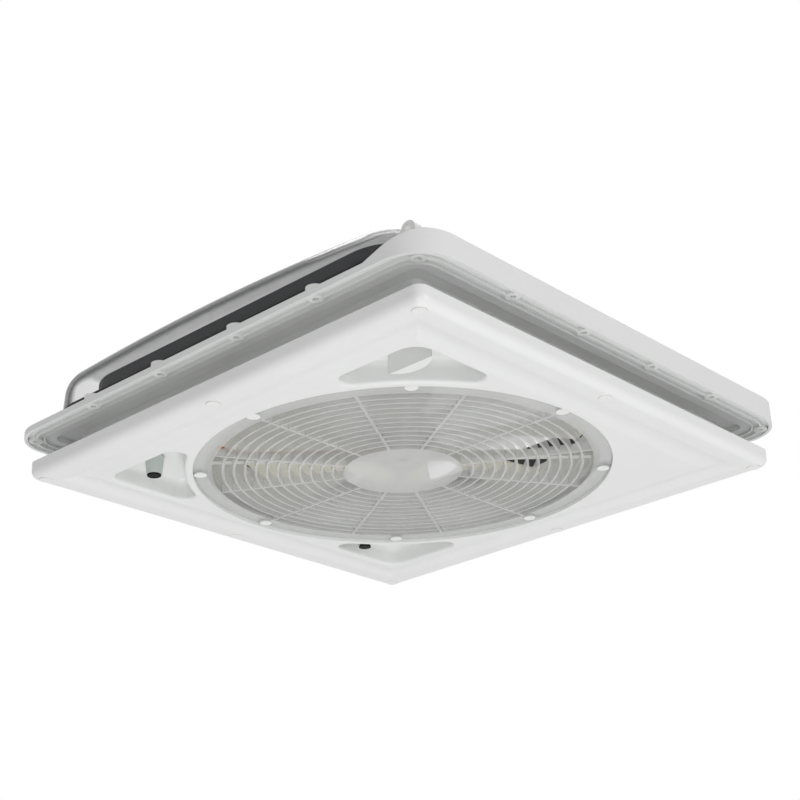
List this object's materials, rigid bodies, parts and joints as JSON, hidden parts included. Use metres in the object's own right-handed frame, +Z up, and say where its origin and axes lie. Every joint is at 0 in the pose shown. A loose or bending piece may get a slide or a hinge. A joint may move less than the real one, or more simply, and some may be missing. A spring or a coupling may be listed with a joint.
{
  "type": "roof vent",
  "caption": "Square roof vent for a caravan: ribbed roof flange, smoked lifting dome, fan behind a round grille, and a white inner trim with crank and controls.",
  "frame": {"origin": "centre of the roof cut-out, in the plane where the flange meets the roof", "axes": "+Z up through the roof, +X towards the hinge side of the dome, -Y towards the crank's side"},
  "size_m": [0.4812, 0.4812, 0.1103],
  "materials": {
    "frame_plastic": "matt off-white moulded plastic",
    "trim_plastic": "satin white moulded plastic",
    "cap_plastic": "satin ivory plastic",
    "frosted_plastic": "frosted, slightly translucent pale grey plastic",
    "smoked_acrylic": "clear smoked plastic, glossy",
    "duct_plastic": "matt pale grey moulded plastic",
    "seal_rubber": "black rubber",
    "steel": "plain bright steel",
    "zinc_screws": "zinc plated",
    "bronze": "sintered bronze",
    "motor_steel": "zinc coated can",
    "fan_plastic": "matt cream moulded plastic",
    "lead_orange": "orange insulation",
    "lead_brown": "brown insulation",
    "board": "green laminate with solder resist",
    "black_plastic": "glossy black plastic",
    "grey_plastic": "satin greenish grey plastic",
    "gear_plastic": "natural acetal",
    "box_plastic": "matt dark grey plastic"
  },
  "bodies": {
    "vent": {"outer_frame": "frame_plastic", "hinge_brackets": "frame_plastic", "hinge_pins": "steel", "collar_seal": "seal_rubber", "duct_tray": "duct_plastic", "tray_screws": "zinc_screws", "trim_frame": "trim_plastic", "trim_screws": "zinc_screws", "trim_caps": "cap_plastic", "grille": "frosted_plastic", "grille_studs": "cap_plastic", "motor_bracket": "duct_plastic", "motor_can": "motor_steel", "motor_bushings": "bronze", "motor_screws": "zinc_screws", "lead_live": "lead_orange", "lead_return": "lead_brown", "control_board": "board", "board_screws": "zinc_screws", "fuse_holder": "black_plastic", "speed_switch": "black_plastic", "power_switch": "black_plastic", "button_tube": "grey_plastic", "button_spring": "steel", "gearbox_housing": "box_plastic", "gearbox_cover": "box_plastic", "gearbox_screws": "zinc_screws", "spindle_bushes": "bronze"},
    "fan": {"fan_shaft": "steel", "motor_rotor": "motor_steel", "fan_impeller": "fan_plastic", "fan_clip": "steel"},
    "crank": {"crank_handle": "trim_plastic", "worm_spindle": "gear_plastic", "spindle_clip": "steel"},
    "arm": {"wheel_sector": "gear_plastic", "lift_arm": "box_plastic", "arm_pin": "steel"},
    "lid": {"dome": "smoked_acrylic", "dome_rail": "box_plastic"},
    "knob": {"speed_knob": "grey_plastic", "knob_cap": "black_plastic"},
    "button": {"power_button": "black_plastic"}
  },
  "joints": [
    {"name": "lid_hinge", "type": "hinge", "parent": "vent", "child": "lid", "pos_m": [0.205, 0, 0.036], "axis": [0, 1, 0], "range_deg": [0, 45]},
    {"name": "arm_swing", "type": "hinge", "parent": "vent", "child": "arm", "pos_m": [0.122, -0.152, 0.027], "axis": [0, 1, 0], "range_deg": [0, 66.2]},
    {"name": "crank_turn", "type": "hinge", "parent": "vent", "child": "crank", "pos_m": [0.152, -0.152, 0], "axis": [0, 0, 1], "range_deg": [0, 1588]},
    {"name": "fan_spin", "type": "hinge", "parent": "vent", "child": "fan", "pos_m": [0, 0, 0], "axis": [0, 0, 1], "continuous": true},
    {"name": "knob_turn", "type": "hinge", "parent": "vent", "child": "knob", "pos_m": [-0.151, -0.151, -0.03], "axis": [0, 0, 1], "range_deg": [0, 270]},
    {"name": "button_push", "type": "slide", "parent": "vent", "child": "button", "axis": [0, 0, 1], "range_m": [0, 0.0018], "stiffness_N_per_m": 400, "springref_m": -0.003, "deforming": ["button_spring"]}
  ],
  "couplings": [
    {"joint": "arm_swing", "follows": "lid_hinge", "ratio": 1.47},
    {"joint": "crank_turn", "follows": "lid_hinge", "ratio": 35.28}
  ]
}
